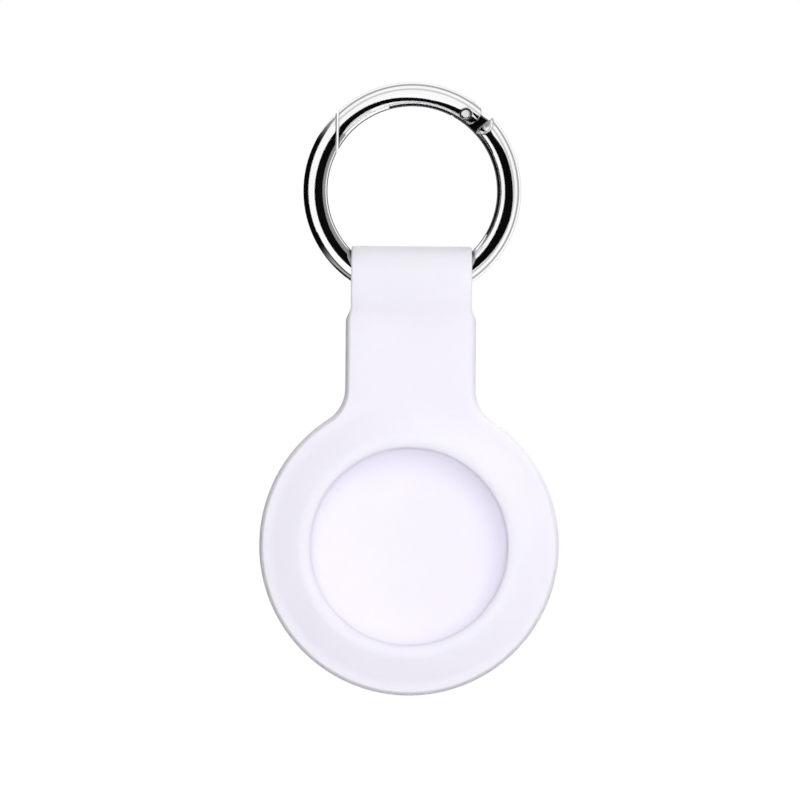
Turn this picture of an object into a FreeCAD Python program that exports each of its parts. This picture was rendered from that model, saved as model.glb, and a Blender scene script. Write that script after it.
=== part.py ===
# Tracker tag holder: a moulded silicone pouch hung by its strap loop on a sprung-gate ring.
# The ring's centre is the origin, +Z is up, the front of the pouch faces -Y. Sizes are in mm and degrees.
import FreeCAD
import Part
import Sketcher
import math
import os
import re

SIZES = (
    # the ring
    ("ring_outer_diameter", 29.4),
    ("wire_diameter", 3.25),
    ("nose_cut_offset", 10.15),
    ("nose_gap", 0.3),
    # the gate's hinge, seen from the front, angles counted from +X towards +Z
    ("pivot_angle", 55.4),
    ("pivot_inset", 0.55),
    ("shoulder_angle", 43.0),
    ("shoulder_ramp_angle", 42.0),
    ("gate_end_radius", 1.8),
    ("tongue_thickness", 1.2),
    ("tongue_rise", 1.2),
    ("cheek_play", 0.06),
    ("rivet_diameter", 1.1),
    ("rivet_play", 0.03),
    ("rivet_head_diameter", 1.4),
    ("rivet_head_height", 0.46),
    ("rivet_head_rounding", 0.25),
    ("rivet_recess_depth", 0.48),
    ("rivet_recess_play", 0.1),
    # the cam on the tongue, and the plunger and spring that press on it
    ("cam_radius", 1.24),
    ("cam_offset", 0.6),
    ("cam_lead_angle", 75.0),
    ("cam_play", 0.1),
    ("slot_play", 0.12),
    ("bore_diameter", 1.3),
    ("bore_lean_angle", 6.0),
    ("bore_reach", 6.8),
    ("plunger_play", 0.06),
    ("plunger_length", 2.0),
    ("spring_wire_diameter", 0.2),
    ("spring_play", 0.08),
    ("spring_turns", 5.0),
    # the strap loop round the ring
    ("loop_width", 16.2),
    ("loop_wall", 1.2),
    ("loop_rim_wall", 0.52),
    ("loop_play", 0.12),
    ("loop_flat", 0.56),
    ("loop_slope_run", 7.2),
    # the neck and the plate that the pouch is raised on
    ("plate_thickness", 5.4),
    ("shoulder_play", 1.37),
    ("neck_width", 17.6),
    ("neck_length", 9.85),
    ("flare_radius", 5.0),
    ("disc_diameter", 40.4),
    ("plate_edge_radius", 1.2),
    # the pouch
    ("tag_diameter", 31.9),
    ("tag_thickness", 8.0),
    ("tag_play", 0.1),
    ("window_diameter", 26.5),
    ("window_edge_radius", 0.55),
    ("lip_thickness", 1.3),
    ("lip_corner_radius", 1.5),
    ("floor_corner_radius", 4.5),
    ("back_wall", 1.4),
    ("bulge_wall", 1.35),
    ("front_rise", 1.6),
    ("front_slope_run", 2.4),
    ("front_foot_radius", 2.5),
    ("front_crest_radius", 2.0),
    ("back_slope_run", 3.2),
    ("back_foot_radius", 2.0),
    ("back_crest_radius", 4.5),
)

# What follows from the sizes: each row is a name and its formula.
LAYOUT = (
    ("ring_radius", "(ring_outer_diameter - wire_diameter) / 2"),
    ("eye_radius", "ring_outer_diameter / 2 - wire_diameter"),
    ("pivot_radius", "ring_radius - pivot_inset"),
    ("pivot_x", "pivot_radius * cos(pivot_angle)"),
    ("pivot_z", "pivot_radius * sin(pivot_angle)"),
    ("slot_width", "tongue_thickness + 2 * cheek_play"),
    ("slot_radius", "cam_radius + cam_offset + slot_play"),
    ("tongue_reach", "ring_radius * sin(pivot_angle - shoulder_angle) + wire_diameter"),
    ("cheek_crown", "sqrt((wire_diameter / 2) ^ 2 - pivot_inset ^ 2)"),
    ("head_seat", "cheek_crown - rivet_recess_depth"),
    ("head_underside", "head_seat + rivet_play"),
    ("head_top", "head_underside + rivet_head_height"),
    ("bore_angle", "pivot_angle + 90 + bore_lean_angle"),
    ("cam_angle", "bore_angle + cam_lead_angle"),
    ("cam_closed_radius", "cam_offset * cos(cam_lead_angle) + "
     "sqrt(cam_radius ^ 2 - (cam_offset * sin(cam_lead_angle)) ^ 2)"),
    ("plunger_radius", "bore_diameter / 2 - plunger_play"),
    ("plunger_tip", "cam_closed_radius + cam_play"),
    ("plunger_tail", "plunger_tip + plunger_length"),
    ("spring_radius", "bore_diameter / 2 - spring_play - spring_wire_diameter / 2"),
    # levels below the ring's centre, down the strap
    ("rim_level", "sqrt(eye_radius ^ 2 - (loop_width / 2) ^ 2)"),
    ("loop_top", "rim_level - loop_play - loop_rim_wall"),
    ("tunnel_top", "loop_top + loop_wall"),
    ("tunnel_bottom", "ring_outer_diameter / 2 + loop_play"),
    ("tunnel_radius", "(tunnel_bottom - tunnel_top) / 2"),
    ("loop_level", "(tunnel_bottom + tunnel_top) / 2"),
    ("loop_radius", "tunnel_radius + loop_wall"),
    ("mouth_start", "sqrt(eye_radius ^ 2 - (tunnel_top + loop_play) ^ 2)"),
    ("mouth_radius", "loop_level - rim_level + loop_play"),
    ("loop_swell", "loop_radius - plate_thickness / 2"),
    ("loop_slope_angle", "2 * atan(loop_swell / loop_slope_run)"),
    ("loop_slope_radius", "loop_slope_run / (2 * sin(loop_slope_angle))"),
    ("shoulder_drop", "mouth_radius + shoulder_play"),
    ("flare_height", "sqrt((disc_diameter / 2 + flare_radius) ^ 2 - "
     "(neck_width / 2 + flare_radius) ^ 2)"),
    ("disc_level", "loop_level + shoulder_drop + neck_length + flare_height"),
    # heights above the disc's centre, and depths before the middle plane of the plate
    ("loop_height", "disc_level - loop_level"),
    ("loop_foot", "loop_height - loop_flat - loop_slope_run"),
    ("neck_height", "flare_height + neck_length"),
    ("crest_depth", "plate_thickness / 2 + front_rise"),
    ("lip_depth", "crest_depth - lip_thickness"),
    ("floor_depth", "lip_depth - tag_thickness - tag_play"),
    ("back_depth", "floor_depth - back_wall"),
    ("pocket_radius", "tag_diameter / 2 + tag_play"),
    ("bulge_radius", "pocket_radius + bulge_wall"),
    # the bulge's slopes, and how far their roundings run from where the slopes would meet the flats
    ("front_slope_angle", "atan(front_rise / front_slope_run)"),
    ("front_foot_run", "front_foot_radius * tan(front_slope_angle / 2)"),
    ("front_crest_run", "front_crest_radius * tan(front_slope_angle / 2)"),
    ("back_rise", "-back_depth - plate_thickness / 2"),
    ("back_slope_angle", "atan(back_rise / back_slope_run)"),
    ("back_foot_run", "back_foot_radius * tan(back_slope_angle / 2)"),
    ("back_crest_run", "back_crest_radius * tan(back_slope_angle / 2)"),
)

# The quarter turn that lays an upright solid square to the ring's plane, and the whole turn of a turned one
ACROSS = (("1", "0", "0"), "90")
FULL_TURN = 360

# The mark of an arc that hollows an outline
HOLLOW = "hollow"

# Measured numbers this close count as the same
CLOSE = 1e-4

# The sheet that each name stands on
HOME = {name: "Sizes." for name, _ in SIZES}
HOME.update({name: "Layout." for name, _ in LAYOUT})

doc = FreeCAD.newDocument("tag_holder")


def full(formula):
    """The formula with each size's name led by the name of its sheet."""
    return re.sub(r"[a-z_]+", lambda word: HOME.get(word.group(), "") + word.group(), formula)


def fill_sheet(name, rows, lead):
    """A sheet of names and cells, each cell with its name as alias."""
    sheet = doc.addObject("Spreadsheet::Sheet", name)
    for number, (alias, content) in enumerate(rows, 1):
        sheet.set(f"A{number}", alias)
        sheet.set(f"B{number}", lead + full(str(content)))
        sheet.setAlias(f"B{number}", alias)
    doc.recompute()
    return sheet


sizes = fill_sheet("Sizes", SIZES, "")
layout = fill_sheet("Layout", LAYOUT, "=")


def value(name):
    """The present number of a size or of what follows from the sizes."""
    sheet = sizes if HOME[name] == "Sizes." else layout
    return float(sheet.get(name))


def bind(thing, **formulas):
    """Ties properties of a document object to formulas on the sheets."""
    for name, formula in formulas.items():
        thing.setExpression(name, full(formula))


def step_to(x="0", y="0", z="0", turn=(("0", "0", "1"), "0")):
    """One move of a placement: a shift, then a turn about an axis."""
    axis, angle = turn
    return f"placement(vector({x}; {y}; {z}); rotation(vector({'; '.join(axis)}); {angle}))"


def turned(angle):
    """A turn in the ring's plane, from +X towards +Z."""
    return step_to(turn=(("0", "-1", "0"), angle))


def put(thing, *steps):
    """Ties the placement to a chain of moves, each in the frame of the one before."""
    bind(thing, Placement=" * ".join(steps))


def solid(kind, name, steps, **formulas):
    """A primitive solid with its sizes and its place."""
    thing = doc.addObject("Part::" + kind, name)
    bind(thing, **formulas)
    put(thing, *steps)
    return thing


def combine(kind, name, base, tool):
    """Two solids fused, cut or intersected."""
    thing = doc.addObject("Part::" + kind, name)
    thing.Base = base
    thing.Tool = tool
    return thing


def pin_across(name, x, z, radius, width, front="0"):
    """A cylinder square to the ring's plane, width long, centred front ahead of that plane."""
    place = [step_to(x, f"({width}) / 2 - ({front})", z, ACROSS)]
    return solid("Cylinder", name, place, Radius=radius, Height=width)


# The wire of the ring, a full circle that the body and the gate are both taken from
wire = solid("Torus", "wire", [step_to(turn=ACROSS)], Radius1="ring_radius", Radius2="wire_diameter / 2")


def beyond_slit(name, offset):
    """The block to the right of the nose's slit, above the ring's centre."""
    corner = step_to(f"-({offset})", "-wire_diameter", "0")
    return solid("Box", name, [corner], Length="2 * ring_outer_diameter",
                 Width="2 * wire_diameter", Height="ring_outer_diameter")


def beyond_spoke(name, angle):
    """The block past a spoke of the ring, on the gate's side."""
    corner = step_to("-ring_outer_diameter", "-wire_diameter", "0")
    return solid("Box", name, [turned(angle), corner], Length="2 * ring_outer_diameter",
                 Width="2 * wire_diameter", Height="ring_outer_diameter")


def pivot_pin(name, radius, width):
    """A cylinder on the gate's pivot."""
    return pin_across(name, "pivot_x", "pivot_z", radius, width)


# The ring body: the wire less the gate's span, with ramped shoulders and a thin tongue for the hinge
slit_side = beyond_slit("body_slit_side", "nose_cut_offset + nose_gap / 2")
shoulder_side = beyond_spoke("shoulder_side", "shoulder_angle")
gate_span = combine("Common", "gate_span", slit_side, shoulder_side)
open_wire = combine("Cut", "open_wire", wire, gate_span)


def shoulder_ramp(name, side):
    """The wedge that slopes one face of the wire down to the tongue."""
    lean = (("1", "0", "0"), f"{side} * shoulder_ramp_angle")
    at_tongue = step_to(y=f"{side} * tongue_thickness / 2", turn=lean)
    inner_face = "0" if side > 0 else "-wire_diameter"
    corner = step_to(y=inner_face, z="-2 * wire_diameter")
    steps = [turned("shoulder_angle"), at_tongue, corner]
    return solid("Box", name, steps, Length="ring_outer_diameter", Width="wire_diameter",
                 Height="4 * wire_diameter")


front_sloped = combine("Cut", "front_sloped", open_wire, shoulder_ramp("front_ramp", -1))
both_sloped = combine("Cut", "both_sloped", front_sloped, shoulder_ramp("back_ramp", 1))

bar_corner = step_to("pivot_radius - wire_diameter", "-tongue_thickness / 2", "-tongue_reach")
tongue_bar = solid("Box", "tongue_bar", [turned("pivot_angle"), bar_corner],
                   Length="wire_diameter + tongue_rise", Width="tongue_thickness", Height="tongue_reach")
cam = pin_across("cam", "pivot_x + cam_offset * cos(cam_angle)", "pivot_z + cam_offset * sin(cam_angle)",
                 "cam_radius", "tongue_thickness")
tongue = combine("Common", "tongue", wire, combine("Fuse", "tongue_blank", tongue_bar, cam))
tongued = combine("Fuse", "tongued", both_sloped, tongue)
tongue_hole = pivot_pin("tongue_hole", "rivet_diameter / 2", "wire_diameter")
ring_body = combine("Cut", "RingBody", tongued, tongue_hole)

# The gate: the rest of the wire, forked over the tongue, with a blind bore for plunger and spring
gate_slit_side = beyond_slit("gate_slit_side", "nose_cut_offset - nose_gap / 2")
gate_side = combine("Common", "gate_side", gate_slit_side, beyond_spoke("pivot_side", "pivot_angle"))
gate_end = pin_across("gate_end", "ring_radius * cos(pivot_angle)", "ring_radius * sin(pivot_angle)",
                      "gate_end_radius", "2 * wire_diameter")
gate_blank = combine("Common", "gate_blank", wire, combine("Fuse", "gate_zone", gate_side, gate_end))

slot_corner = step_to("0", "-slot_width / 2", "-ring_outer_diameter / 2")
slot_end = solid("Box", "slot_end", [turned("pivot_angle"), slot_corner], Length="ring_outer_diameter",
                 Width="slot_width", Height="ring_outer_diameter / 2")
slot = combine("Fuse", "slot", slot_end, pivot_pin("slot_turn", "slot_radius", "slot_width"))
slotted = combine("Cut", "slotted", gate_blank, slot)
gate_drilled = combine("Cut", "gate_drilled", slotted,
                       pivot_pin("gate_hole", "rivet_diameter / 2 + rivet_play", "2 * wire_diameter"))


def head_recess(name, side):
    """The spot face in one cheek that a rivet head sits in."""
    return pin_across(name, "pivot_x", "pivot_z", "rivet_head_diameter / 2 + rivet_recess_play",
                      "wire_diameter", f"{side} * (head_seat + wire_diameter / 2)")


front_faced = combine("Cut", "front_faced", gate_drilled, head_recess("front_recess", 1))
both_faced = combine("Cut", "both_faced", front_faced, head_recess("back_recess", -1))

# Along the bore: local Z runs from the pivot up the gate
along_bore = [step_to("pivot_x", "0", "pivot_z", (("0", "1", "0"), "90 - bore_angle"))]
bore = solid("Cylinder", "bore", along_bore, Radius="bore_diameter / 2", Height="bore_reach")
ring_gate = combine("Cut", "RingGate", both_faced, bore)


def new_body(name, steps):
    """An empty body at its place."""
    body = doc.addObject("PartDesign::Body", name)
    put(body, *steps)
    return body


def new_sketch(body, name, plane):
    """A sketch on one of the body's own origin planes."""
    sketch = body.newObject("Sketcher::SketchObject", name)
    role = plane + "_Plane"
    support = [feature for feature in body.Origin.OriginFeatures if feature.Role == role][0]
    sketch.AttachmentSupport = [(support, "")]
    sketch.MapMode = "FlatFace"
    return sketch


def number_of(formula):
    """The number that a formula gives with the sheets as they are."""
    return float(layout.evalExpression(full(formula)))


def tie(sketch, kind, *where, formula):
    """A measured constraint whose number is a formula."""
    index = sketch.addConstraint(Sketcher.Constraint(kind, *where, number_of(formula)))
    sketch.setExpression(f"Constraints[{index}]", full(formula))


def tie_point(sketch, line, end, spot):
    """Holds one point of a sketch at its two coordinates, on an axis where the formula is 0."""
    for kind, axis, formula in (("DistanceX", -2, spot[0]), ("DistanceY", -1, spot[1])):
        if formula == "0":
            sketch.addConstraint(Sketcher.Constraint("PointOnObject", line, end, axis))
        else:
            tie(sketch, kind, -1, 1, line, end, formula=formula)


def outline(body, name, plane, spots):
    """A closed outline through spots, each a pair of formulas, joined by straight lines.

    A spot with a third formula starts an arc of that radius to the next spot, anticlockwise, or
    clockwise where HOLLOW comes fourth.
    """
    sketch = new_sketch(body, name, plane)
    points = [FreeCAD.Vector(number_of(spot[0]), number_of(spot[1]), 0) for spot in spots]
    count = len(points)
    starts = []
    ends = []
    for index, spot in enumerate(spots):
        first = points[index]
        last = points[(index + 1) % count]
        hollow = spot[-1] == HOLLOW
        starts.append(2 if hollow else 1)
        ends.append(1 if hollow else 2)
        if len(spot) == 2:
            sketch.addGeometry(Part.LineSegment(first, last), False)
            continue
        if hollow:
            first, last = last, first
        middle = (first + last) * 0.5
        half_chord = last - middle
        radius = number_of(spot[2])
        inward = FreeCAD.Vector(-half_chord.y, half_chord.x, 0).normalize()
        centre = middle + inward * math.sqrt(radius ** 2 - half_chord.dot(half_chord))
        start_angle = math.atan2(first.y - centre.y, first.x - centre.x)
        sweep = 2 * math.asin(half_chord.Length / radius)
        circle = Part.Circle(centre, FreeCAD.Vector(0, 0, 1), radius)
        sketch.addGeometry(Part.ArcOfCircle(circle, start_angle, start_angle + sweep), False)
    for index in range(count):
        after = (index + 1) % count
        sketch.addConstraint(Sketcher.Constraint("Coincident", index, ends[index], after, starts[after]))
    for index, spot in enumerate(spots):
        tie_point(sketch, index, starts[index], spot)
        if len(spot) > 2:
            tie(sketch, "Radius", index, formula=spot[2])
    return sketch


def disc(body, name, plane, spot, radius):
    """A circle about a spot."""
    sketch = new_sketch(body, name, plane)
    centre = FreeCAD.Vector(number_of(spot[0]), number_of(spot[1]), 0)
    circle = Part.Circle(centre, FreeCAD.Vector(0, 0, 1), number_of(radius))
    sketch.addGeometry(circle, False)
    tie(sketch, "Radius", 0, formula=radius)
    if spot == ("0", "0"):
        sketch.addConstraint(Sketcher.Constraint("Coincident", 0, 3, -1, 1))
    else:
        tie_point(sketch, 0, 3, spot)
    return sketch


def pad(body, name, profile, length):
    """A slab on a profile, half its length to each side."""
    feature = body.newObject("PartDesign::Pad", name)
    feature.Profile = profile
    feature.SideType = "Symmetric"
    bind(feature, Length=length)
    return feature


def spin(body, kind, name, profile, axis):
    """A full turn of a profile about an axis of its sketch, added or taken away."""
    feature = body.newObject("PartDesign::" + kind, name)
    feature.Profile = profile
    feature.ReferenceAxis = (profile, [axis])
    feature.Angle = FULL_TURN
    return feature


def round_off(body, name, radius, choose):
    """Rounds those edges of the body, as it is so far, for which choose is true."""
    doc.recompute()
    base = body.Tip
    names = []
    for number, edge in enumerate(base.Shape.Edges, 1):
        if choose(edge):
            names.append(f"Edge{number}")
    if not names:
        raise RuntimeError(f"{name} finds no edge to round")
    feature = body.newObject("PartDesign::Fillet", name)
    feature.Base = (base, names)
    bind(feature, Radius=radius)
    doc.recompute()
    return feature


def near(number, formula):
    """True where a measured number is what the formula gives."""
    return abs(number - number_of(formula)) < CLOSE


def is_circle(edge, radius, depth):
    """True for a full circle about the pouch's axis with this radius, at this depth."""
    box = edge.BoundBox
    return near(box.XLength / 2, radius) and near(box.ZMin, depth) and near(box.ZMax, depth)


# The rivet: a plain shank with two low heads, turned about its own axis, which crosses the ring's plane
rivet = new_body("PivotRivet", [step_to("pivot_x", "0", "pivot_z", ACROSS)])
rivet_half = outline(rivet, "rivet_half", "XZ", (
    ("0", "-head_top"),
    ("rivet_head_diameter / 2", "-head_top"),
    ("rivet_head_diameter / 2", "-head_underside"),
    ("rivet_diameter / 2", "-head_underside"),
    ("rivet_diameter / 2", "head_underside"),
    ("rivet_head_diameter / 2", "head_underside"),
    ("rivet_head_diameter / 2", "head_top"),
    ("0", "head_top"),
))
spin(rivet, "Revolution", "rivet_turned", rivet_half, "V_Axis")
round_off(rivet, "rivet_heads", "rivet_head_rounding",
          lambda edge: is_circle(edge, "rivet_head_diameter / 2", "head_top")
          or is_circle(edge, "rivet_head_diameter / 2", "-head_top"))

# The plunger: a short pin with a round nose on the cam and a flat tail under the spring
plunger_stem = solid("Cylinder", "plunger_stem", along_bore + [step_to(z="plunger_tip + plunger_radius")],
                     Radius="plunger_radius", Height="plunger_length - plunger_radius")
plunger_nose = solid("Sphere", "plunger_nose", along_bore + [step_to(z="plunger_tip + plunger_radius")],
                     Radius="plunger_radius")
plunger = combine("Fuse", "SpringPlunger", plunger_stem, plunger_nose)

# The pouch: local X to the right, Y up, Z to the front, from the centre of the disc
holder = new_body("HolderBody", [step_to(z="-disc_level", turn=ACROSS)])
disc_round = disc(holder, "disc_round", "XY", ("0", "0"), "disc_diameter / 2")
pad(holder, "disc_plate", disc_round, "plate_thickness")
neck_outline = outline(holder, "neck_outline", "XY", (
    ("-neck_width / 2", "0"),
    ("neck_width / 2", "0"),
    ("neck_width / 2", "neck_height"),
    ("-neck_width / 2", "neck_height"),
))
pad(holder, "neck_plate", neck_outline, "plate_thickness")


def in_flare(edge):
    """The two upright corners where the neck runs into the disc."""
    box = edge.BoundBox
    return near(box.ZLength, "plate_thickness") and near(abs(box.Center.x), "neck_width / 2") \
        and box.Center.y < number_of("flare_height")


def on_plate_rim(edge):
    """The front and back outlines of the plate, without its cut-off top."""
    box = edge.BoundBox
    return near(abs(box.Center.z), "plate_thickness / 2") and box.ZLength < CLOSE \
        and not near(box.YMin, "neck_height")


round_off(holder, "flare", "flare_radius", in_flare)
round_off(holder, "plate_rim", "plate_edge_radius", on_plate_rim)

bulge_half = outline(holder, "bulge_half", "XZ", (
    ("0", "back_depth"),
    ("bulge_radius - back_slope_run - back_crest_run", "back_depth", "back_crest_radius"),
    ("bulge_radius - back_slope_run + back_crest_run * cos(back_slope_angle)",
     "back_depth + back_crest_run * sin(back_slope_angle)"),
    ("bulge_radius - back_foot_run * cos(back_slope_angle)",
     "-plate_thickness / 2 - back_foot_run * sin(back_slope_angle)", "back_foot_radius", HOLLOW),
    ("bulge_radius + back_foot_run", "-plate_thickness / 2"),
    ("bulge_radius + front_foot_run", "plate_thickness / 2", "front_foot_radius", HOLLOW),
    ("bulge_radius - front_foot_run * cos(front_slope_angle)",
     "plate_thickness / 2 + front_foot_run * sin(front_slope_angle)"),
    ("bulge_radius - front_slope_run + front_crest_run * cos(front_slope_angle)",
     "crest_depth - front_crest_run * sin(front_slope_angle)", "front_crest_radius"),
    ("bulge_radius - front_slope_run - front_crest_run", "crest_depth"),
    ("0", "crest_depth"),
))
spin(holder, "Revolution", "bulge", bulge_half, "V_Axis")

# The strap loop seen from the side: a barrel that runs down to the plate in two arcs each side
loop_outline = outline(holder, "loop_outline", "YZ", (
    ("loop_foot", "-plate_thickness / 2", "loop_slope_radius", HOLLOW),
    ("loop_foot + loop_slope_run / 2", "-(plate_thickness + loop_swell) / 2", "loop_slope_radius"),
    ("loop_foot + loop_slope_run", "-loop_radius"),
    ("loop_height", "-loop_radius", "loop_radius"),
    ("loop_height + loop_radius", "0", "loop_radius"),
    ("loop_height", "loop_radius"),
    ("loop_foot + loop_slope_run", "loop_radius", "loop_slope_radius"),
    ("loop_foot + loop_slope_run / 2", "(plate_thickness + loop_swell) / 2", "loop_slope_radius", HOLLOW),
    ("loop_foot", "plate_thickness / 2"),
))
pad(holder, "loop", loop_outline, "loop_width")

tunnel_half = outline(holder, "tunnel_half", "XY", (
    ("-loop_width / 2", "loop_height"),
    ("loop_width / 2", "loop_height"),
    ("loop_width / 2", "loop_height + mouth_radius"),
    ("mouth_start", "loop_height + tunnel_radius"),
    ("-mouth_start", "loop_height + tunnel_radius"),
    ("-loop_width / 2", "loop_height + mouth_radius"),
))
tunnel_axis = tunnel_half.addGeometry(Part.LineSegment(
    FreeCAD.Vector(-1, number_of("loop_height"), 0), FreeCAD.Vector(1, number_of("loop_height"), 0)), True)
tunnel_half.addConstraint(Sketcher.Constraint("PointOnObject", tunnel_axis, 1, 0))
tunnel_half.addConstraint(Sketcher.Constraint("PointOnObject", tunnel_axis, 2, 0))
spin(holder, "Groove", "tunnel", tunnel_half, "Axis0")

pocket_half = outline(holder, "pocket_half", "XZ", (
    ("0", "floor_depth"),
    ("pocket_radius - floor_corner_radius", "floor_depth", "floor_corner_radius"),
    ("pocket_radius", "floor_depth + floor_corner_radius"),
    ("pocket_radius", "lip_depth - lip_corner_radius", "lip_corner_radius"),
    ("pocket_radius - lip_corner_radius", "lip_depth"),
    ("window_diameter / 2", "lip_depth"),
    ("window_diameter / 2", "crest_depth + lip_thickness"),
    ("0", "crest_depth + lip_thickness"),
))
spin(holder, "Groove", "pocket", pocket_half, "V_Axis")
round_off(holder, "window_edges", "window_edge_radius",
          lambda edge: is_circle(edge, "window_diameter / 2", "lip_depth")
          or is_circle(edge, "window_diameter / 2", "crest_depth"))

# The spring: a helix as tangent arcs, two to each quarter turn, swept by the wire's round section
QUARTERS = 4


def arc_between(first, corner, last):
    """The arc from first to last whose end tangents meet in corner."""
    middle = (first + last) * 0.5
    half_chord = (last - first).Length / 2
    swing = math.acos(half_chord / (corner - first).Length)
    apex = middle + (corner - middle).normalize() * (half_chord * math.tan(swing / 2))
    return Part.Arc(first, apex, last).toShape()


def helix_arcs(radius, rise, turns):
    """Edges of a helix about Z: each quarter turn is two arcs that meet with one tangent."""
    count = round(turns * QUARTERS)
    pitch_rate = rise / (turns * 2 * math.pi)

    def spot(step):
        """Point and unit tangent after a number of quarter turns."""
        angle = step * math.pi / 2
        point = FreeCAD.Vector(radius * math.cos(angle), radius * math.sin(angle), pitch_rate * angle)
        tangent = FreeCAD.Vector(-radius * math.sin(angle), radius * math.cos(angle), pitch_rate)
        return point, tangent.normalize()

    edges = []
    for step in range(count):
        (first, lead), (last, trail) = spot(step), spot(step + 1)
        chord = last - first
        along = chord.dot(lead + trail)
        bend = 2 * (1 - lead.dot(trail))
        reach = (math.sqrt(along ** 2 + bend * chord.dot(chord)) - along) / bend
        near_corner = first + lead * reach
        far_corner = last - trail * reach
        joint = (near_corner + far_corner) * 0.5
        edges.append(arc_between(first, near_corner, joint))
        edges.append(arc_between(joint, far_corner, last))
    return edges


spring_start = value("plunger_tail") + value("spring_wire_diameter") / 2
spring_rise = value("bore_reach") - value("spring_wire_diameter") / 2 - spring_start
path = Part.Wire(helix_arcs(value("spring_radius"), spring_rise, value("spring_turns")))
start_tangent = path.Edges[0].tangentAt(path.Edges[0].FirstParameter)
start_point = path.Edges[0].valueAt(path.Edges[0].FirstParameter)
section = Part.Wire(Part.makeCircle(value("spring_wire_diameter") / 2, start_point, start_tangent))
spring = doc.addObject("Part::Feature", "GateSpring")
spring.Shape = path.makePipeShell([section], True, False)
put(spring, *along_bore, step_to(z=str(spring_start)))

NODES = (
    (ring_body, "ring_body"),
    (ring_gate, "ring_gate"),
    (rivet, "pivot_rivet"),
    (plunger, "spring_plunger"),
    (spring, "gate_spring"),
    (holder, "holder_body"),
)

doc.recompute()
for thing in doc.Objects:
    if {"Invalid", "Error"} & set(thing.State):
        raise RuntimeError(f"{thing.Name} did not build: {thing.State}")
for thing, node in NODES:
    thing.Label = node
    if thing.Shape.isNull() or not thing.Shape.isValid() or len(thing.Shape.Solids) != 1:
        raise RuntimeError(f"{node} is not one sound solid")

os.makedirs("parts", exist_ok=True)
for thing, node in NODES:
    thing.Shape.exportStep(f"parts/{node}.step")
    print(node, f"{thing.Shape.Volume:.3f} cubic mm", thing.Shape.BoundBox)
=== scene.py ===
import math

import bmesh
import bpy
import numpy as np
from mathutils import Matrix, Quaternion, Vector


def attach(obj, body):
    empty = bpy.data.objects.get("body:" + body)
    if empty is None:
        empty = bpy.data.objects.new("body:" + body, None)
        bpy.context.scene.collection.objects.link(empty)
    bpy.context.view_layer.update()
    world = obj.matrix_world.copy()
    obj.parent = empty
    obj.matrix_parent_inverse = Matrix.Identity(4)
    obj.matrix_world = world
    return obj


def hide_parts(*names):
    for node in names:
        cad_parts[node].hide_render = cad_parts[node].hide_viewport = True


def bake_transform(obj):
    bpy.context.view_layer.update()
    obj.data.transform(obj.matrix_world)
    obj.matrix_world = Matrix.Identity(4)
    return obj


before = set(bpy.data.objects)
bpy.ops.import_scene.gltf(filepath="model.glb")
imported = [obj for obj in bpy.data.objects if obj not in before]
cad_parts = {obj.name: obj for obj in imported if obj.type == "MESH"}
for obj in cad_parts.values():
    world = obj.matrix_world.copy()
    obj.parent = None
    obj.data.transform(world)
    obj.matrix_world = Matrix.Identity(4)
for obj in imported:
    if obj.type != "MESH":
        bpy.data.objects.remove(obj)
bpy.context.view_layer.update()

# The holder is one moulding in pale lavender silicone: a strap loop, a neck and a round pouch with a window.
# It is pressed in a two-part mould with a fine matt skin, and the mould's seam runs round the middle of its
# edge. Lengths are in millimetres, x to the right, y to the back and z up from the ring's centre.
MM = 0.001
LOOP_LEVEL = -11.736
LOOP_RADIUS = 4.284
LOOP_HALF_WIDTH = 8.1
LOOP_FLAT = 0.56
LOOP_SLOPE_RUN = 7.2
LOOP_EDGE = 0.3
TUNNEL_RADIUS = 3.084
MOUTH_START = 7.358
MOUTH_RADIUS = 3.764
MOUTH_EDGE = 0.1
MOUTH_EDGE_DEPTHS = (0.0, 0.04, 0.12)
SHOULDER_DROP = 0.24
SHOULDER_LEVEL = LOOP_LEVEL - MOUTH_RADIUS - SHOULDER_DROP
SHOULDER_RUN = 1.9
PLATE_HALF = 2.7
PLATE_EDGE_ACROSS = 0.62
PLATE_EDGE_DEEP = 1.35
PLATE_EDGE_BLUNTNESS = 1.4
SEAM_HEIGHT = 0.04
SEAM_SPREAD = 0.16
SEAM_CROWDING = 1.8
NECK_HALF_WIDTH = 8.8
DISC_LEVEL = -47.806
DISC_RADIUS = 20.2
FLARE_RADIUS = 5.0
FRONT_BULGE, FRONT_RISE, FRONT_RUN, FRONT_FOOT, FRONT_CREST = 18.55, 1.6, 3.75, 2.6, 2.3
BACK_BULGE, BACK_RISE, BACK_RUN, BACK_FOOT, BACK_CREST = 17.4, 3.8, 3.2, 2.0, 4.5
FOOT_MARGIN = 0.12
WINDOW_RADIUS = 13.25
WINDOW_EDGE = 1.65
WINDOW_LEAN = math.radians(36.0)
WINDOW_NOSE = 0.08
WINDOW_UNDER_EDGE = 0.85
LIP_THICKNESS = 1.3
LIP_CORNER = 1.5
POCKET_RADIUS = 16.05
FLOOR_DEPTH = 5.1
FLOOR_CORNER = 4.5
SHOULDER_STEPS, NECK_STEPS, FLARE_STEPS, DISC_STEPS = 10, 21, 14, 83
EDGE_STEPS, WALL_STEPS, PLATE_STEPS, STRAP_STEPS = 8, 14, 26, 30
ARC_STEPS, TOP_STEPS, LIP_STEPS, NOSE_STEPS, WELL_STEPS, FLOOR_STEPS = 10, 5, 8, 6, 4, 12
RISE_STEPS, OVER_STEPS, LEVEL_STEPS, SIDE_STEPS, BORE_STEPS = 16, 48, 6, 4, 12
MERGE_REACH = 0.002
SLIVER = 0.0005
QUARTER = math.pi / 2.0

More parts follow.
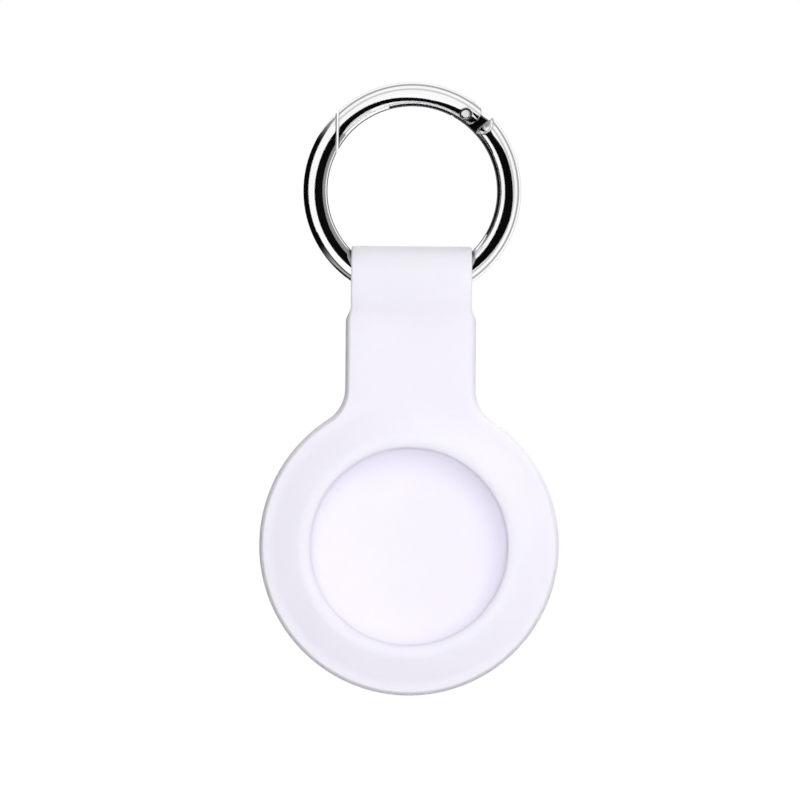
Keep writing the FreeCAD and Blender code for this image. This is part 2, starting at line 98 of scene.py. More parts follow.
SILICONE = (0.887, 0.864, 0.968, 1.0)
SILICONE_SHADE = (0.872, 0.848, 0.952, 1.0)
SILICONE_CLOUD = 9.0
SILICONE_GRAIN = 0.32
MATT, MATT_BY_CLOUD, MATT_BY_GRAIN = 0.5, 0.12, 0.06
FINE_DETAIL = 3.0


class Patchwork:
    """Grids of points that together close one skin: equal points on their borders are merged at the end."""

    def __init__(self):
        self.points = []
        self.quads = []
        self.count = 0

    def add(self, grid, closed=False):
        """Takes a grid of rows, columns and coordinates; closed joins its last column to its first."""
        rows, columns = grid.shape[:2]
        number = np.arange(rows * columns).reshape(rows, columns) + self.count
        if closed:
            number = np.concatenate([number, number[:, :1]], axis=1)
        corners = (number[:-1, :-1], number[:-1, 1:], number[1:, 1:], number[1:, :-1])
        self.quads.append(np.stack(corners, axis=-1).reshape(-1, 4))
        self.points.append(grid.reshape(-1, 3) * MM)
        self.count += rows * columns

    def piece(self, name):
        """The merged skin as an object, its faces outwards and smooth."""
        mesh = bpy.data.meshes.new(name)
        mesh.from_pydata(np.concatenate(self.points), [], np.concatenate(self.quads))
        work = bmesh.new()
        work.from_mesh(mesh)
        bmesh.ops.remove_doubles(work, verts=work.verts, dist=MERGE_REACH * MM)
        bmesh.ops.dissolve_degenerate(work, edges=work.edges, dist=SLIVER * MM)
        bmesh.ops.recalc_face_normals(work, faces=work.faces)
        work.to_mesh(mesh)
        work.free()
        mesh.shade_smooth()
        made = bpy.data.objects.new(name, mesh)
        bpy.context.scene.collection.objects.link(made)
        return made


def steps(start, stop, count):
    """Even steps from start to stop, with both ends."""
    return np.linspace(start, stop, count + 1)


def onwards(start, stop, count):
    """The same steps without the start, on which the piece before them ends."""
    return steps(start, stop, count)[1:]


def stack(x, y, z):
    """Three arrays, spread to one shape, as points."""
    return np.stack(np.broadcast_arrays(x, y, z), axis=-1).astype(float)


def eased(share):
    """0 below 0, 1 above 1, and three times the square less twice the cube between."""
    share = np.clip(share, 0.0, 1.0)
    return share ** 2 * (3.0 - 2.0 * share)


def loop_swell(z):
    """How far the strap's face stands before the plate's: a fall in two equal arcs from barrel to plate."""
    swell = LOOP_RADIUS - PLATE_HALF
    angle = 2.0 * math.atan(swell / LOOP_SLOPE_RUN)
    radius = LOOP_SLOPE_RUN / (2.0 * math.sin(angle))
    below = np.clip(LOOP_LEVEL - LOOP_FLAT - z, 0.0, LOOP_SLOPE_RUN)
    half = LOOP_SLOPE_RUN / 2.0
    upper = swell - radius + np.sqrt(radius ** 2 - np.minimum(below, half) ** 2)
    lower = radius - np.sqrt(radius ** 2 - np.minimum(LOOP_SLOPE_RUN - below, half) ** 2)
    return np.where(below < half, upper, lower)


def outline_half():
    """The right half of the plan from shoulder to foot: straight neck, hollow flare arc and disc arc."""
    flare_x = NECK_HALF_WIDTH + FLARE_RADIUS
    flare_z = DISC_LEVEL + math.sqrt((DISC_RADIUS + FLARE_RADIUS) ** 2 - flare_x ** 2)
    lean = math.atan2(flare_z - DISC_LEVEL, flare_x)
    shoulder_end = SHOULDER_LEVEL - SHOULDER_RUN
    upright_z = np.concatenate([steps(SHOULDER_LEVEL, shoulder_end, SHOULDER_STEPS),
                                onwards(shoulder_end, flare_z, NECK_STEPS)])
    widening = NECK_HALF_WIDTH - LOOP_HALF_WIDTH
    upright_x = LOOP_HALF_WIDTH + widening * eased((SHOULDER_LEVEL - upright_z) / SHOULDER_RUN)
    flare = onwards(math.pi, math.pi + lean, FLARE_STEPS)
    disc = onwards(lean, -QUARTER, DISC_STEPS)
    x = np.concatenate([upright_x, flare_x + FLARE_RADIUS * np.cos(flare), DISC_RADIUS * np.cos(disc)])
    z = np.concatenate([upright_z, flare_z + FLARE_RADIUS * np.sin(flare),
                        DISC_LEVEL + DISC_RADIUS * np.sin(disc)])
    x[-1] = 0.0
    return x, z


half_x, half_z = outline_half()
rim_x = np.concatenate([half_x, -half_x[-2::-1]])
rim_z = np.concatenate([half_z, half_z[-2::-1]])
along_x, along_z = np.gradient(rim_x), np.gradient(rim_z)
stride = np.hypot(along_x, along_z)
out_x, out_z = -along_z / stride, along_x / stride
out_x[0], out_z[0], out_x[-1], out_z[-1] = 1.0, 0.0, -1.0, 0.0


def edge_strip():
    """The plate's edge: a blunt rounding, the side wall with its seam, and the same rounding at the back.

    Rows follow the plan, columns go from front to back. The rounding is a stretched quarter of a curve whose
    sine and cosine are raised to one power: 1 is round, as along the loop, and more is blunter. The seam
    is a bell curve on the wall, whose columns crowd towards it by a power of their even spread.
    """
    low = eased((SHOULDER_LEVEL - rim_z) / SHOULDER_RUN)[:, None]
    across = LOOP_EDGE + (PLATE_EDGE_ACROSS - LOOP_EDGE) * low
    deep = LOOP_EDGE + (PLATE_EDGE_DEEP - LOOP_EDGE) * low
    power = 1.0 + (PLATE_EDGE_BLUNTNESS - 1.0) * low
    border_z = rim_z[:, None] - out_z[:, None] * (SEAM_HEIGHT * low + across)
    half = PLATE_HALF + loop_swell(border_z)
    turn = steps(0.0, QUARTER, EDGE_STEPS)[None, :]
    inset = SEAM_HEIGHT * low + across * (1.0 - np.sin(turn) ** power)
    drop = deep * (1.0 - np.cos(turn).clip(0.0) ** power)
    spread = steps(-1.0, 1.0, WALL_STEPS)[None, 1:-1]
    wall = (half - deep) * np.sign(spread) * np.abs(spread) ** SEAM_CROWDING
    seam = SEAM_HEIGHT * low * (1.0 - np.exp(-(wall / SEAM_SPREAD) ** 2))
    depth = np.concatenate([drop - half, wall, (half - drop)[:, ::-1]], axis=1)
    inward = np.concatenate([inset, seam, inset[:, ::-1]], axis=1)
    x = rim_x[:, None] - out_x[:, None] * inward
    z = rim_z[:, None] - out_z[:, None] * inward
    return stack(x, depth, z)


def raised(bulge, rise, run, foot, crest, flat_to):
    """Radii and heights up a ring-shaped slope: hollow foot arc, straight slope, crest arc and flat top."""
    slope = math.atan2(rise, run)
    foot_run, crest_run = foot * math.tan(slope / 2.0), crest * math.tan(slope / 2.0)
    climb = steps(0.0, slope, ARC_STEPS)
    top = climb[::-1]
    radii = [bulge + foot_run + FOOT_MARGIN,
             bulge + foot_run - foot * np.sin(climb),
             bulge - run - crest_run + crest * np.sin(top),
             onwards(bulge - run - crest_run, flat_to, TOP_STEPS)]
    heights = [0.0,
               foot * (1.0 - np.cos(climb)),
               rise - crest * (1.0 - np.cos(top)),
               np.full(TOP_STEPS, rise)]
    return np.hstack(radii), np.hstack(heights)


def window_edge():
    """Runs inwards and falls over the window's edge: a soft arc down to its lean, then a small nose arc."""
    soft = onwards(0.0, WINDOW_LEAN, LIP_STEPS)
    nose = onwards(WINDOW_LEAN, QUARTER, NOSE_STEPS)
    larger = WINDOW_EDGE - WINDOW_NOSE
    runs = [WINDOW_EDGE * np.sin(soft),
            larger * math.sin(WINDOW_LEAN) + WINDOW_NOSE * np.sin(nose)]
    falls = [WINDOW_EDGE * (1.0 - np.cos(soft)),
             WINDOW_EDGE - larger * math.cos(WINDOW_LEAN) - WINDOW_NOSE * np.cos(nose)]
    return np.hstack(runs), np.hstack(falls)


def pouch_face(border, side, radii, depths):
    """One face of the plate with its pouch: straight from the plan's border to a circle, then in by radii.

    Each column keeps its bearing from the pouch's centre once it has reached the circle.
    """
    bearing = np.arctan2(border[:, 0], border[:, 2] - DISC_LEVEL)
    circle_x, circle_z = radii[0] * np.sin(bearing), DISC_LEVEL + radii[0] * np.cos(bearing)
    share = steps(0.0, 1.0, PLATE_STEPS)[:-1, None]
    plate_x = border[:, 0] + (circle_x - border[:, 0]) * share
    plate_z = border[:, 2] + (circle_z - border[:, 2]) * share
    plate = stack(plate_x, side * (PLATE_HALF + loop_swell(plate_z)), plate_z)
    pouch_x = radii[:, None] * np.sin(bearing)
    pouch_z = DISC_LEVEL + radii[:, None] * np.cos(bearing)
    return np.concatenate([plate, stack(pouch_x, depths[:, None], pouch_z)])


skin = Patchwork()
edge = edge_strip()
skin.add(edge)

# Across the top of the plate, where its faces run on into the loop
strap_x = steps(-1.0, 1.0, STRAP_STEPS) * (LOOP_HALF_WIDTH - LOOP_EDGE)
strap_half = float(PLATE_HALF + loop_swell(np.array(SHOULDER_LEVEL)))
front_top = stack(strap_x[1:-1], -strap_half, SHOULDER_LEVEL)
back_top = stack(strap_x[1:-1], strap_half, SHOULDER_LEVEL)

# The front face runs over the bulge and the window's lip, round the lip and down into the pocket
crest_depth = -(PLATE_HALF + FRONT_RISE)
lip_depth = crest_depth + LIP_THICKNESS
lip_runs, lip_falls = window_edge()
under_round = onwards(0.0, QUARTER, LIP_STEPS)
corner_round = onwards(0.0, QUARTER, ARC_STEPS)
front_radii, front_heights = raised(FRONT_BULGE, FRONT_RISE, FRONT_RUN, FRONT_FOOT, FRONT_CREST,
                                    WINDOW_RADIUS + lip_runs[-1])
pocket_radii = np.hstack([
    front_radii,
    WINDOW_RADIUS + lip_runs[-1] - lip_runs,
    WINDOW_RADIUS + WINDOW_UNDER_EDGE * (1.0 - np.cos(under_round)),
    POCKET_RADIUS - LIP_CORNER,
    POCKET_RADIUS - LIP_CORNER * (1.0 - np.sin(corner_round)),
    np.full(WELL_STEPS, POCKET_RADIUS),
    POCKET_RADIUS - FLOOR_CORNER * (1.0 - np.cos(corner_round)),
    onwards(POCKET_RADIUS - FLOOR_CORNER, 0.0, FLOOR_STEPS),
])
pocket_depths = np.hstack([
    -(PLATE_HALF + front_heights),
    crest_depth + lip_falls,
    lip_depth - WINDOW_UNDER_EDGE * (1.0 - np.sin(under_round)),
    lip_depth,
    lip_depth + LIP_CORNER * (1.0 - np.cos(corner_round)),
    onwards(lip_depth + LIP_CORNER, FLOOR_DEPTH - FLOOR_CORNER, WELL_STEPS),
    FLOOR_DEPTH - FLOOR_CORNER * (1.0 - np.sin(corner_round)),
    np.full(FLOOR_STEPS, FLOOR_DEPTH),
])
front_border = np.concatenate([edge[:, 0], front_top])
skin.add(pouch_face(front_border, -1.0, pocket_radii, pocket_depths), closed=True)

# The back face runs over the domed back to its flat
back_radii, back_heights = raised(BACK_BULGE, BACK_RISE, BACK_RUN, BACK_FOOT, BACK_CREST, 0.0)
back_border = np.concatenate([edge[:, -1], back_top])
skin.add(pouch_face(back_border, 1.0, back_radii, PLATE_HALF + back_heights), closed=True)

# The loop's outer face: up the strap's front, over the barrel and down its back
rise_z = steps(SHOULDER_LEVEL, LOOP_LEVEL, RISE_STEPS)
rise_y = PLATE_HALF + loop_swell(rise_z)
over = steps(0.0, math.pi, OVER_STEPS)[1:-1]
loop_y = np.concatenate([-rise_y, -LOOP_RADIUS * np.cos(over), rise_y[::-1]])
loop_z = np.concatenate([rise_z, LOOP_LEVEL + LOOP_RADIUS * np.sin(over), rise_z[::-1]])
skin.add(stack(strap_x[None, :], loop_y[:, None], loop_z[:, None]))

# Into the loop from its face: square to the profile, but level at the two ends that meet the plate's edge
face_y, face_z = np.gradient(loop_y), np.gradient(loop_z)
from_start = np.arange(len(loop_z))
level = eased(np.minimum(from_start, from_start[::-1]) / LEVEL_STEPS)
in_y, in_z = face_z, -face_y * level
in_length = np.hypot(in_y, in_z)
in_y, in_z = in_y / in_length, in_z / in_length
edge_turn = steps(0.0, QUARTER, EDGE_STEPS)[None, :]
edge_inset = LOOP_EDGE * (1.0 - np.cos(edge_turn))
edge_x = LOOP_HALF_WIDTH - LOOP_EDGE * (1.0 - np.sin(edge_turn))
round_y = loop_y[:, None] + in_y[:, None] * edge_inset
round_z = loop_z[:, None] + in_z[:, None] * edge_inset

# The loop's side: from the rounded rim and the top of the plate's edge to the tunnel's mouth
edge_top = edge[0, EDGE_STEPS + 1:-EDGE_STEPS - 1]
around_y = np.concatenate([round_y[:, -1], edge_top[::-1, 1]])
around_z = np.concatenate([round_z[:, -1], edge_top[::-1, 2]])
mouth_angle = np.arctan2(around_z - LOOP_LEVEL, around_y)
mouth_y = (MOUTH_RADIUS + MOUTH_EDGE) * np.cos(mouth_angle)
mouth_z = LOOP_LEVEL + (MOUTH_RADIUS + MOUTH_EDGE) * np.sin(mouth_angle)
inwards = steps(0.0, 1.0, SIDE_STEPS)[:, None]
side_y = around_y + (mouth_y - around_y) * inwards
side_z = around_z + (mouth_z - around_z) * inwards
for side in (1.0, -1.0):
    skin.add(stack(side * edge_x, round_y, round_z))
    skin.add(stack(side * LOOP_HALF_WIDTH, side_y, side_z), closed=True)

# The tunnel for the ring: a straight bore whose mouths open out in a cone with a soft edge
cone = (MOUTH_RADIUS - TUNNEL_RADIUS) / (LOOP_HALF_WIDTH - MOUTH_START)
soft_x = LOOP_HALF_WIDTH - np.array(MOUTH_EDGE_DEPTHS)
soft_radius = MOUTH_RADIUS + np.array([MOUTH_EDGE, 0.0, -MOUTH_EDGE_DEPTHS[-1] * cone])
bore_x = np.concatenate([soft_x, steps(MOUTH_START, -MOUTH_START, BORE_STEPS), -soft_x[::-1]])
bore_radius = np.concatenate([soft_radius, np.full(BORE_STEPS + 1, TUNNEL_RADIUS), soft_radius[::-1]])
skin.add(stack(bore_x[:, None], bore_radius[:, None] * np.cos(mouth_angle),
               LOOP_LEVEL + bore_radius[:, None] * np.sin(mouth_angle)), closed=True)
holder = skin.piece("holder_moulding")


class Strand:
    """One output of a material's nodes. Sums, differences and products with it add Math nodes."""

    def __init__(self, tree, socket=None):
        self.tree = tree
        self.socket = socket

    def node(self, kind, settings=None, sockets=None, output=0):
        """Adds a node, sets its settings, then its sockets' values or links, and returns one output."""
        made = self.tree.nodes.new(kind)
        for name, setting in (settings or {}).items():
            setattr(made, name, setting)
        for name, given in (sockets or {}).items():
            if isinstance(given, Strand):
                self.tree.links.new(given.socket, made.inputs[name])
            else:
                made.inputs[name].default_value = given
        return Strand(self.tree, made.outputs[output]) if made.outputs else None

    def sum_of(self, operation, first, second):
        """A Math node on two values."""
        return self.node("ShaderNodeMath", {"operation": operation}, {0: first, 1: second})

    def __add__(self, other):
        return self.sum_of("ADD", self, other)

    def __radd__(self, other):
        return self.sum_of("ADD", other, self)

    def __sub__(self, other):
        return self.sum_of("SUBTRACT", self, other)

    def __rsub__(self, other):
        return self.sum_of("SUBTRACT", other, self)

    def __mul__(self, other):
        return self.sum_of("MULTIPLY", self, other)

    def __rmul__(self, other):
        return self.sum_of("MULTIPLY", other, self)


def new_material(name):
    """An empty material, the start of its strands, and its object coordinates."""
    made = bpy.data.materials.new(name)
    made.use_nodes = True
    made.node_tree.nodes.clear()
    start = Strand(made.node_tree)
    return made, start, start.node("ShaderNodeTexCoord", output="Object")


def grain(start, place, size, detail=2.0):
    """Soft noise from 0 to 1, whose lumps are about size across in millimetres."""
    return start.node("ShaderNodeTexNoise", None, {
        "Vector": place, "Scale": 1.0 / (size * MM), "Detail": detail, "Roughness": 0.5})


def blend_of(start, share, first, second):
    """First colour to second colour by share."""
    return start.node("ShaderNodeMix", {"data_type": "RGBA"}, {0: share, 6: first, 7: second}, output=2)


def surface(start, sockets):
    """The finished surface on the material's output."""
    shader = start.node("ShaderNodeBsdfPrincipled", None, sockets)
    start.node("ShaderNodeOutputMaterial", None, {"Surface": shader})


silicone, start, place = new_material("lavender_silicone")
cloud = grain(start, place, SILICONE_CLOUD)
skin_grain = grain(start, place, SILICONE_GRAIN, FINE_DETAIL)
relief = start.node("ShaderNodeBump", None, {"Strength": 0.12, "Distance": 0.03 * MM, "Height": skin_grain})
surface(start, {
    "Base Color": blend_of(start, cloud, SILICONE, SILICONE_SHADE),
    "Roughness": MATT + MATT_BY_CLOUD * cloud + MATT_BY_GRAIN * skin_grain,
    "IOR": 1.41,
    "Specular IOR Level": 0.4,
    "Subsurface Weight": 0.5,
    "Subsurface Radius": (1.0, 0.95, 1.05),
    "Subsurface Scale": 2.0 * MM,
    "Sheen Weight": 0.08,
    "Sheen Roughness": 0.5,
    "Normal": relief,
})
holder.data.materials.append(silicone)
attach(holder, "holder")
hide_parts("holder_body")

# The ring's body and its gate are die-cast zinc, polished and plated bright, and nearly mirror smooth.
# The gate's fork straddles the body's tongue on the rivet, and its nose shuts on the body with a fine slit.
# Its colour is painted darker along sharp edges and in the corners, as painted shade.
CHROME = (0.97, 0.97, 0.975, 1.0)
CHROME_DULL = (0.93, 0.93, 0.94, 1.0)
CHROME_CLOUD = 4.0
CHROME_GRAIN = 0.5
POLISH, POLISH_BY_CLOUD, POLISH_BY_GRAIN = 0.015, 0.02, 0.02
# The dark tone below is painted shade, laid on the plating's sharp edges and in its corners.
PAINTED_SHADE_TONE = (0.16, 0.16, 0.17, 1.0)
EDGE_REACH = 0.3
EDGE_GAIN = 10.0
CORNER_REACH = 0.7

plating, start, place = new_material("bright_plate")
cloud = grain(start, place, CHROME_CLOUD)
fine = grain(start, place, CHROME_GRAIN, FINE_DETAIL)
soft_edge = start.node("ShaderNodeBevel", {"samples": 6}, {"Radius": EDGE_REACH * MM})
flat = start.node("ShaderNodeNewGeometry", output="Normal")
along = start.node("ShaderNodeVectorMath", {"operation": "DOT_PRODUCT"}, {0: soft_edge, 1: flat},
                   output="Value")
# Painted shade along sharp edges: the colour goes dark where the rounded normal turns from the flat one.
painted_edge_shade = start.node("ShaderNodeClamp", None, {"Value": EDGE_GAIN * (1.0 - along)})
# Painted shade in the corners: the colour goes dark where ambient occlusion finds other surfaces near.
open_air = start.node("ShaderNodeAmbientOcclusion", {"samples": 8, "only_local": False},
                      {"Distance": CORNER_REACH * MM}, output="AO")
tone = blend_of(start, cloud, CHROME, CHROME_DULL)
# Painted shade over the plating's random tone: first along the edges, then in the corners.
tone = blend_of(start, painted_edge_shade, tone, PAINTED_SHADE_TONE)
tone = blend_of(start, open_air * open_air, PAINTED_SHADE_TONE, tone)
relief = start.node("ShaderNodeBump", None, {
    "Strength": 0.01, "Distance": 0.002 * MM, "Height": fine, "Normal": soft_edge})
surface(start, {
    "Base Color": tone,
    "Metallic": 1.0,
    "Roughness": POLISH + POLISH_BY_CLOUD * cloud + POLISH_BY_GRAIN * fine,
    "Normal": relief,
})
for name in ("ring_body", "ring_gate"):
    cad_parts[name].data.materials.clear()
    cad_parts[name].data.materials.append(plating)

# The rivet and the plunger are turned from plain bright steel. The rivet is headed cold over the fork's
# cheeks, and the plunger slides out of sight in the gate's bore, between the spring and the tongue's cam.
STEEL = (0.86, 0.86, 0.87, 1.0)
STEEL_DULL = (0.72, 0.72, 0.74, 1.0)
STEEL_CLOUD = 0.8
TURNED, TURNED_BY_CLOUD = 0.14, 0.12

steel, start, place = new_material("plain_steel")
cloud = grain(start, place, STEEL_CLOUD, FINE_DETAIL)
surface(start, {
    "Base Color": blend_of(start, cloud, STEEL, STEEL_DULL),
    "Metallic": 1.0,
    "Roughness": TURNED + TURNED_BY_CLOUD * cloud,
    "Normal": start.node("ShaderNodeBump", None, {"Strength": 0.05, "Distance": 0.01 * MM, "Height": cloud}),
})
for name in ("pivot_rivet", "spring_plunger"):
    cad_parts[name].data.materials.clear()
    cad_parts[name].data.materials.append(steel)

# The gate's spring is wound from fine steel wire, with a closed coil at each end, and lies in its bore.
# It is pressed between the bore's blind end, which turns with the gate, and the plunger's flat tail.
PIVOT = np.array([7.11224, 0.0, 10.30978])
BORE_WAY = np.array([-0.87798298, 0.0, 0.47869186])
DEPTH_WAY = np.array([0.0, 1.0, 0.0])
BORE_REACH = 6.8
PLUNGER_TAIL = 3.35152
SPRING_RADIUS = 0.47
SPRING_WIRE = 0.1
SPRING_TURNS = 7
SPRING_END_PITCH = 0.215
STEPS_PER_TURN, WIRE_STEPS = 40, 12


def coil():
    """A helix round the bore's axis, swept by a round wire, with a flat cap at each end.

    Its rise per turn is the closed pitch in the first and last turn, and even over the turns between.
    """
    turns = steps(0.0, SPRING_TURNS, STEPS_PER_TURN * SPRING_TURNS)
    first, last = PLUNGER_TAIL + SPRING_WIRE, BORE_REACH - SPRING_WIRE
    knots = [0.0, 1.0, SPRING_TURNS - 1.0, SPRING_TURNS]
    rise = np.interp(turns, knots, [first, first + SPRING_END_PITCH, last - SPRING_END_PITCH, last])
    angle = 2.0 * math.pi * turns
    outwards = np.cross(BORE_WAY, DEPTH_WAY)
    spoke = np.cos(angle)[:, None] * DEPTH_WAY + np.sin(angle)[:, None] * outwards
    centre = PIVOT + rise[:, None] * BORE_WAY + SPRING_RADIUS * spoke
    ahead = np.gradient(centre, axis=0)
    ahead /= np.linalg.norm(ahead, axis=1)[:, None]
    aside = np.cross(ahead, spoke)
    round_wire = steps(0.0, 2.0 * math.pi, WIRE_STEPS)[None, :-1, None]
    reach = np.cos(round_wire) * spoke[:, None, :] + np.sin(round_wire) * aside[:, None, :]
    tube = centre[:, None, :] + SPRING_WIRE * reach
    near_cap = np.repeat(centre[:1, None, :], WIRE_STEPS, axis=1)
    far_cap = np.repeat(centre[-1:, None, :], WIRE_STEPS, axis=1)
    return np.concatenate([near_cap, tube, far_cap])


windings = Patchwork()
windings.add(coil(), closed=True)
spring = windings.piece("gate_spring_coil")
spring.data.materials.append(steel)
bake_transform(spring)
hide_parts("gate_spring")

# The studio is a pale floor some way below, a white surround, and soft lamps: a large key and a small fill
# in front, and one each for the right side, the top and the back. Flags and cards stand round the ring
# and give the plating its dark and grey bands. Only polished metal sees them.
WHITE = (1.0, 1.0, 1.0, 1.0)
FLOOR_LEVEL = -130.0
FLOOR_REACH = 1500.0
FLOOR_PALE = (0.42, 0.42, 0.425, 1.0)
FLOOR_GLOW = 1.22
FLOOR_GLOW_SHARE = 0.8
AMBIENT = 0.255
AMBIENT_LEAN = (0.16, -0.12, 0.08)
FLAG_BLACK = (0.003, 0.003, 0.003, 1.0)
FLAG_DARK = (0.12, 0.12, 0.125, 1.0)
FLAG_GREY = (0.40, 0.40, 0.41, 1.0)
INNER_SHADE = (0.28, 0.28, 0.285, 1.0)
SHEEN_SHADE = (0.62, 0.62, 0.625, 1.0)
HOOD_DEPTH = -4.0
HOOD_BEARINGS = (0.0, 24.0, 38.0, 62.0, 78.0, 90.0, 104.0, 120.0,
                 134.0, 142.0, 165.0, 180.0, 200.0, 225.0, 315.0, 345.0)
HOOD_OUTER = (15.4, 15.0, 13.4, 11.5, 10.4, 10.7, 11.8, 12.5, 12.8, 12.9, 13.2, 13.5, 13.7, 13.8, 15.0, 16.4)
HOOD_INNER = (10.2, 10.0, 9.6, 1.0, 0.8, 3.5, 7.2, 8.6, 8.4, 1.5, 0.8, 3.0, 6.0, 7.2, 10.8, 10.2)
HINGE_FLAG_X, HINGE_FLAG_DEPTH, HINGE_FLAG_Z = (8.3, 12.0), -8.0, (8.6, 13.0)
BAND_RADIUS = 32.0
BAND_NEAR, BAND_FAR = -2.5, 6.5
BAND_NEAR_LEFT, BAND_FAR_LEFT = -8.5, 24.0
BAND_DARK_FROM, BAND_DARK_TO = -22.0, -28.0
LEFT_FLAG_X, LEFT_FLAG_Y, LEFT_FLAG_Z = -31.0, (20.0, 80.0), (-22.0, 22.0)
INNER_FLAG_X, INNER_FLAG_Y, INNER_FLAG_Z = -3.0, (-7.0, 3.0), (-9.0, 3.0)
SHEEN_BEARINGS = (-60.0, 138.0)
SHEEN_DEPTHS = (-26.0, -14.0)
LEFT_CARD_X, LEFT_CARD_Y, LEFT_CARD_Z = -45.0, (-20.0, 120.0), (-95.0, -18.0)
UNDER_CARD_X, UNDER_CARD_Y, UNDER_CARD_Z = (-45.0, 30.0), (-20.0, 120.0), -95.0
REAR_FLAG_RADIUS, REAR_FLAG_DEPTH = 30.0, 40.0
HOOD_STEPS, SHEEN_STEPS = 96, 48


def staged(name, grid, material):
    """A stage piece from a grid of points in millimetres."""
    rows, columns = grid.shape[:2]
    number = np.arange(rows * columns).reshape(rows, columns)
    corners = (number[:-1, :-1], number[:-1, 1:], number[1:, 1:], number[1:, :-1])
    mesh = bpy.data.meshes.new(name)
    mesh.from_pydata(grid.reshape(-1, 3) * MM, [], np.stack(corners, axis=-1).reshape(-1, 4))
    mesh.materials.append(material)
    made = bpy.data.objects.new(name, mesh)
    bpy.context.scene.collection.objects.link(made)
    return made


def shown_ray(start):
    """1 for a ray from the camera, off polished metal or through a clear piece, and 0 for the rest."""
    path = start.node("ShaderNodeLightPath", output="Is Camera Ray")
    for ray in ("Is Glossy Ray", "Is Transmission Ray"):
        other = start.node("ShaderNodeLightPath", output=ray)
        path = start.sum_of("MAXIMUM", path, other)
    return path


def flag(name, x, y, z, shade, left_shade=None, one_sided=False):
    """A flag that only polished metal sees: of one shade, another at its left end, or clear from behind.

    Its places are numbers, or arrays that spread to one grid of rows and columns.
    """
    dark, start, place = new_material(name)
    if left_shade:
        across = start.node("ShaderNodeSeparateXYZ", None, {"Vector": place}, output="X")
        leftness = start.node("ShaderNodeMapRange", {"interpolation_type": "SMOOTHSTEP"}, {
            "Value": across, "From Min": BAND_DARK_FROM * MM, "From Max": BAND_DARK_TO * MM})
        shade = blend_of(start, leftness, shade, left_shade)
    glow = start.node("ShaderNodeEmission", None, {"Color": shade, "Strength": 1.0})
    if one_sided:
        behind = start.node("ShaderNodeNewGeometry", output="Backfacing")
        clear = start.node("ShaderNodeBsdfTransparent")
        glow = start.node("ShaderNodeMixShader", None, {0: behind, 1: glow, 2: clear})
    start.node("ShaderNodeOutputMaterial", None, {"Surface": glow})
    made = staged(name, stack(x, y, z), dark)
    made.visible_camera = False
    made.visible_diffuse = False
    made.visible_transmission = False
    made.visible_shadow = False


def column(ends):
    """Two ends as rows of a grid."""
    return np.array(ends)[:, None]


pale, start, _ = new_material("pale_floor")
start.node("ShaderNodeOutputMaterial", None, {"Surface": start.node("ShaderNodeMixShader", None, {
    0: FLOOR_GLOW_SHARE * shown_ray(start),
    1: start.node("ShaderNodeBsdfDiffuse", None, {"Color": FLOOR_PALE}),
    2: start.node("ShaderNodeEmission", None, {"Color": WHITE, "Strength": FLOOR_GLOW})})})
floor_ends = np.array([-FLOOR_REACH, FLOOR_REACH])
staged("studio_floor", stack(floor_ends, column(floor_ends), FLOOR_LEVEL), pale)

# A black hood before the ring, open in the middle, and a grey band round its edge that is black at the left
turn = steps(0.0, 2.0 * math.pi, HOOD_STEPS)
sweep_x, sweep_z = np.cos(turn), np.sin(turn)
hood_reach = np.stack([np.interp(np.degrees(turn), HOOD_BEARINGS, reach, period=360.0)
                       for reach in (HOOD_OUTER, HOOD_INNER)])
flag("hood_flag", hood_reach * sweep_x, HOOD_DEPTH, hood_reach * sweep_z, FLAG_BLACK)
flag("hinge_flag", np.array(HINGE_FLAG_X), HINGE_FLAG_DEPTH, column(HINGE_FLAG_Z), FLAG_BLACK)
leftness = eased((BAND_DARK_FROM - BAND_RADIUS * sweep_x) / (BAND_DARK_FROM - BAND_DARK_TO))
band_depth = np.stack([BAND_NEAR + (BAND_NEAR_LEFT - BAND_NEAR) * leftness,
                       BAND_FAR + (BAND_FAR_LEFT - BAND_FAR) * leftness])
flag("edge_flag", BAND_RADIUS * sweep_x, band_depth, BAND_RADIUS * sweep_z, FLAG_GREY, FLAG_BLACK)

# A black flag at the left, a grey one within the ring, a pale one for the sheen, two cards and a rear flag
flag("left_flag", LEFT_FLAG_X, column(LEFT_FLAG_Y), np.array(LEFT_FLAG_Z), FLAG_BLACK)
flag("inner_flag", INNER_FLAG_X, column(INNER_FLAG_Y), np.array(INNER_FLAG_Z), INNER_SHADE, one_sided=True)
sheen_turn = np.radians(steps(*SHEEN_BEARINGS, SHEEN_STEPS))
flag("sheen_flag", BAND_RADIUS * np.cos(sheen_turn), column(SHEEN_DEPTHS), BAND_RADIUS * np.sin(sheen_turn),
     SHEEN_SHADE)
flag("left_card", LEFT_CARD_X, column(LEFT_CARD_Y), np.array(LEFT_CARD_Z), FLAG_BLACK)
flag("under_card", np.array(UNDER_CARD_X), column(UNDER_CARD_Y), UNDER_CARD_Z, FLAG_BLACK)
rear_reach = column((0.0, REAR_FLAG_RADIUS))
flag("rear_flag", rear_reach * sweep_x, REAR_FLAG_DEPTH, rear_reach * sweep_z, FLAG_DARK)

world = bpy.data.worlds.new("studio")
bpy.context.scene.world = world
world.use_nodes = True
world.node_tree.nodes.clear()
start = Strand(world.node_tree)
way = start.node("ShaderNodeTexCoord", output="Generated")
lean = start.node("ShaderNodeVectorMath", {"operation": "DOT_PRODUCT"}, {0: way, 1: AMBIENT_LEAN},
                  output="Value")
start.node("ShaderNodeOutputWorld", None, {"Surface": start.node("ShaderNodeMixShader", None, {
    0: shown_ray(start),
    1: start.node("ShaderNodeBackground", None, {"Color": WHITE, "Strength": AMBIENT + lean}),
    2: start.node("ShaderNodeBackground", None, {"Color": WHITE, "Strength": 1.0})})})


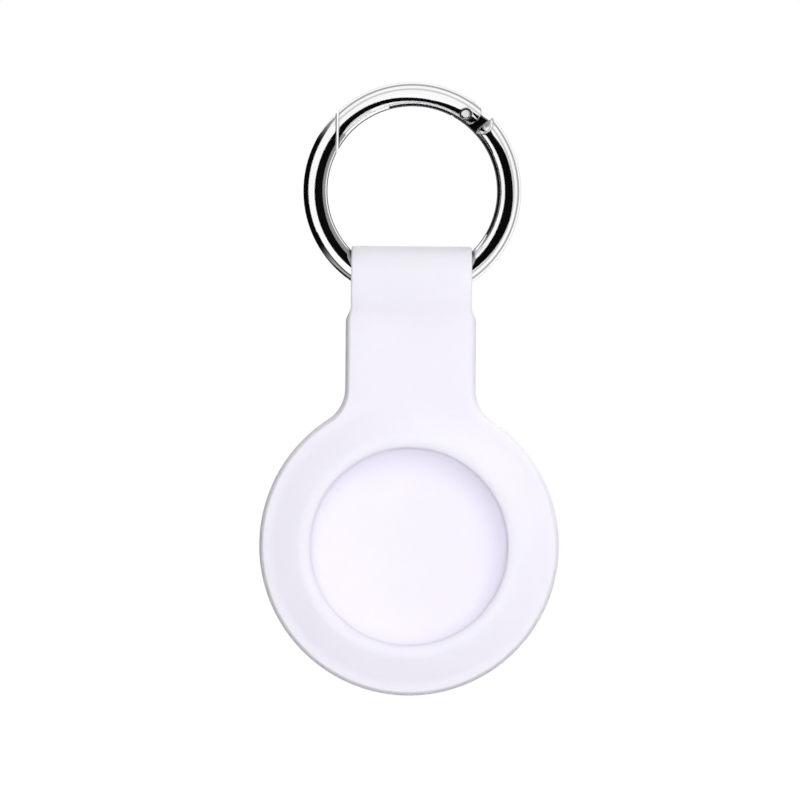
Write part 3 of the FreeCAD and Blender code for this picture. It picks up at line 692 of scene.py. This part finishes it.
def lamp(name, watts, size, distance, azimuth, elevation):
    """A square soft lamp aimed at the holder's middle; azimuth 0 is in front and 90 right, in degrees."""
    aim = Vector((0.0, 0.0, DISC_LEVEL / 2.0))
    turn, lift = math.radians(azimuth), math.radians(elevation)
    way = Vector((math.sin(turn) * math.cos(lift), -math.cos(turn) * math.cos(lift), math.sin(lift)))
    data = bpy.data.lights.new(name, "AREA")
    data.energy = watts
    data.size = size * MM
    made = bpy.data.objects.new(name, data)
    made.location = (aim + distance * way) * MM
    made.rotation_mode = "QUATERNION"
    made.rotation_quaternion = way.to_track_quat("Z", "Y")
    made.visible_glossy = False
    bpy.context.scene.collection.objects.link(made)


lamp("key", watts=1.5, size=300.0, distance=700.0, azimuth=7.0, elevation=10.0)
lamp("fill", watts=1.8, size=30.0, distance=700.0, azimuth=0.0, elevation=0.6)
lamp("rim", watts=0.8, size=200.0, distance=600.0, azimuth=100.0, elevation=45.0)
lamp("top", watts=0.7, size=200.0, distance=600.0, azimuth=180.0, elevation=75.0)
lamp("back", watts=2.4, size=400.0, distance=600.0, azimuth=170.0, elevation=20.0)

# The camera stands square before the holder with a long lens.
# It is rolled a little, as the holder leans in its picture, and aims a little left of the holder's middle.
LENS = 150.0
SENSOR = 36.0
FRAME_WIDTH = 108.0
AIM_X, AIM_Z = -1.394, -28.21
ROLL = math.radians(0.52)
CLIP_NEAR, CLIP_FAR = 10.0, 10000.0

view = bpy.data.cameras.new("camera")
view.lens = LENS
view.sensor_width = SENSOR
view.clip_start, view.clip_end = CLIP_NEAR * MM, CLIP_FAR * MM
camera = bpy.data.objects.new("camera", view)
camera.location = Vector((AIM_X, -FRAME_WIDTH * LENS / SENSOR, AIM_Z)) * MM
camera.rotation_mode = "QUATERNION"
camera.rotation_quaternion = Quaternion((1.0, 0.0, 0.0), QUARTER) @ Quaternion((0.0, 0.0, 1.0), ROLL)
bpy.context.scene.collection.objects.link(camera)
bpy.context.scene.camera = camera
bpy.context.scene.view_settings.view_transform = "Standard"
